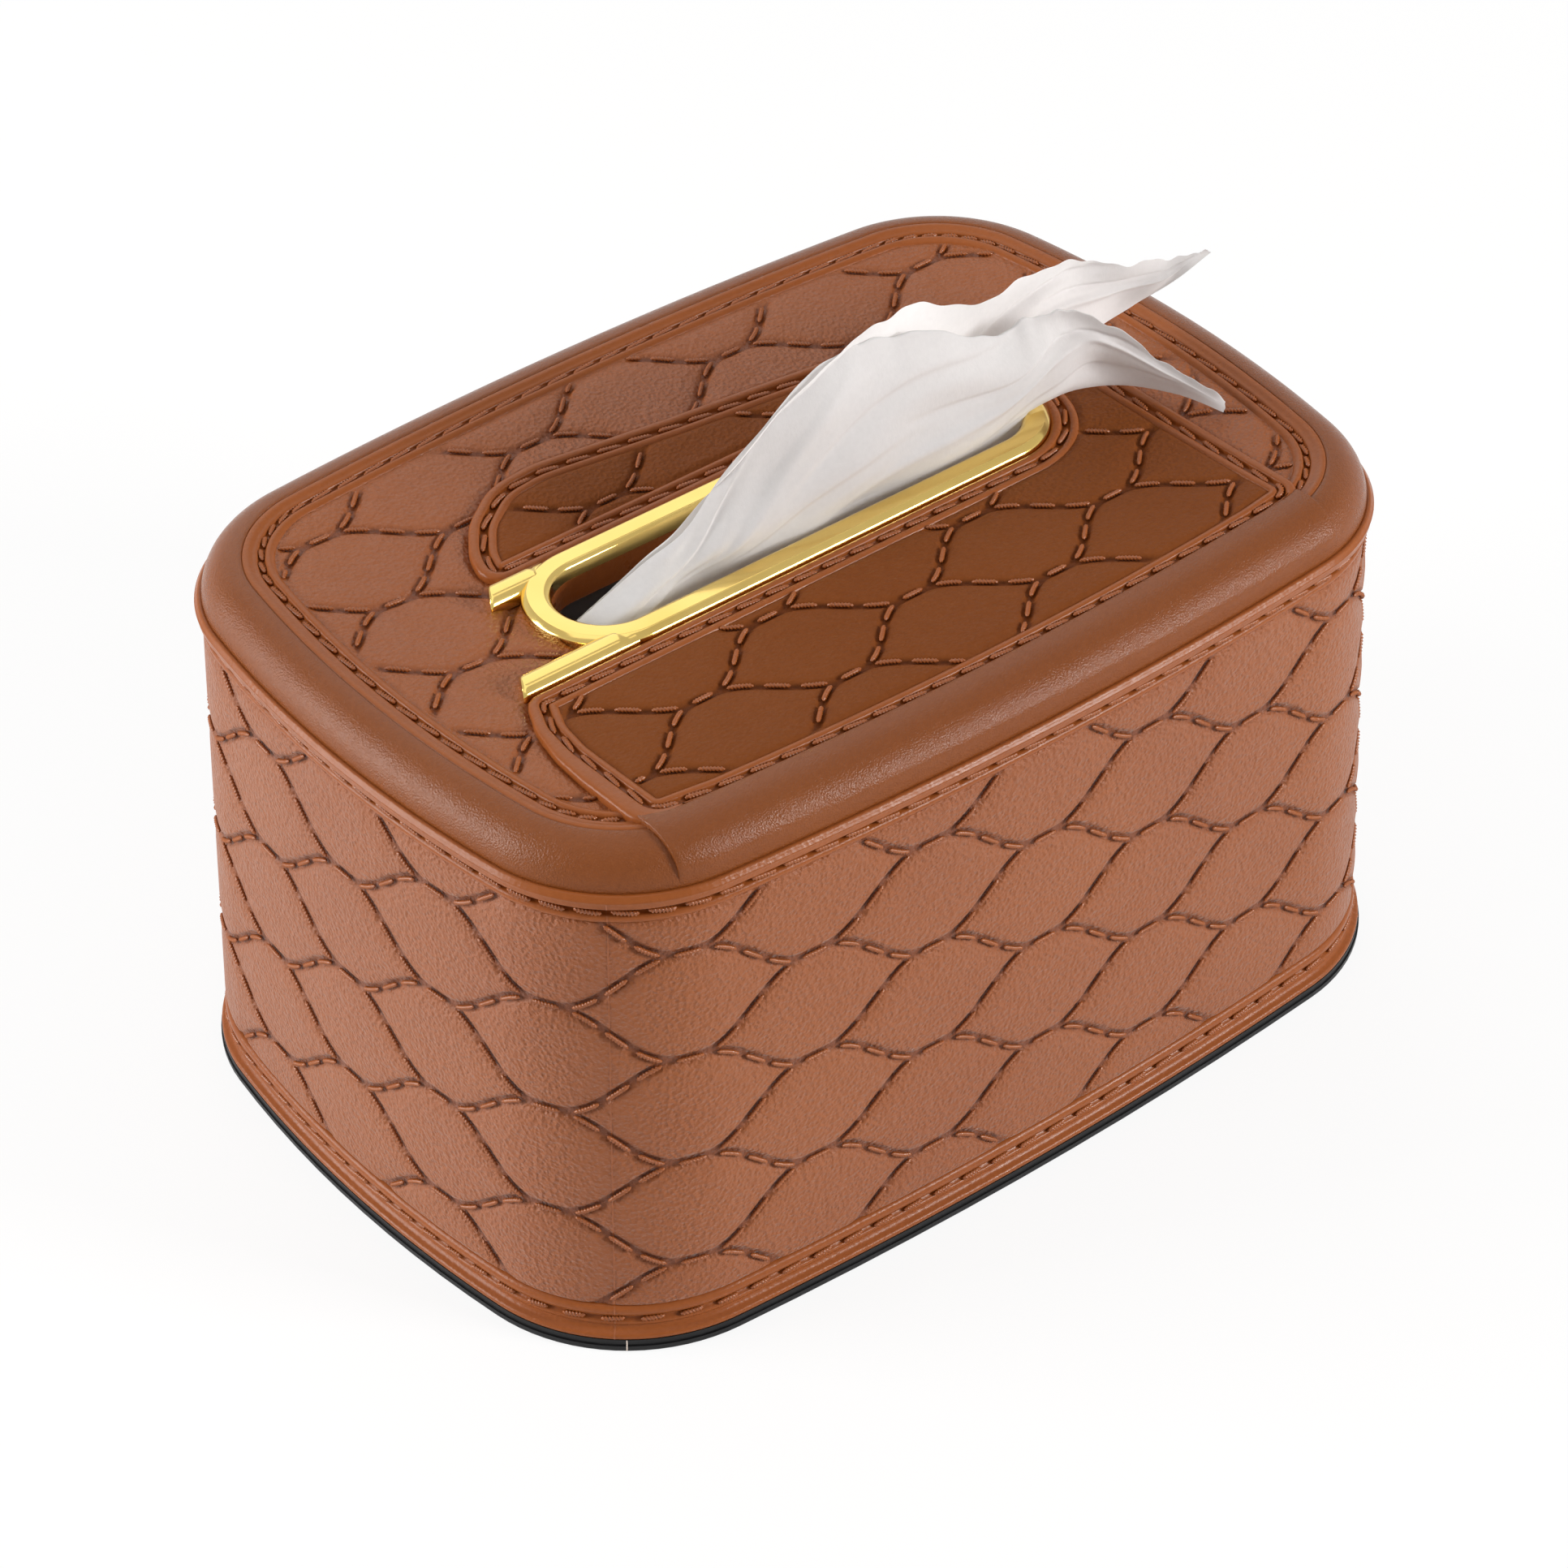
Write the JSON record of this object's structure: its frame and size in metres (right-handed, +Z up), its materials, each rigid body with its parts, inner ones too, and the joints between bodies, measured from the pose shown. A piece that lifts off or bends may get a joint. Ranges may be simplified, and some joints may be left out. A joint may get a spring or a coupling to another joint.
{
  "type": "tissue box cover",
  "caption": "Quilted leather-look tissue box: a one-piece cover with a gold-trimmed slot lifts off a flat base tray that holds the folded tissues.",
  "frame": {"origin": "middle of the footprint, on the surface the box stands on", "axes": "+Z up; +X along the length, from the end where the trim's two bars run on past the ring towards the ring's plain round end; +Y to the back, so the flap's square edge is at -Y"},
  "size_m": [0.2284, 0.16, 0.1509],
  "materials": {
    "cover_plastic": "brown leather grain, satin",
    "plated_trim": "gold plated, polished",
    "tray_plastic": "black, satin",
    "tissue": "white tissue paper, matt"
  },
  "bodies": {
    "base": {"base_tray": "tray_plastic", "tissue_stack": "tissue"},
    "cover": {"cover": "cover_plastic", "slot_trim": "plated_trim"},
    "tissue": {"pulled_tissue": "tissue"}
  },
  "joints": [
    {"name": "cover_lift", "type": "slide", "parent": "base", "child": "cover", "axis": [0, 0, 1], "range_m": [0, 0.12]},
    {"name": "tissue_pull", "type": "slide", "parent": "cover", "child": "tissue", "axis": [0, 0, 1], "range_m": [0, 0.06]}
  ]
}
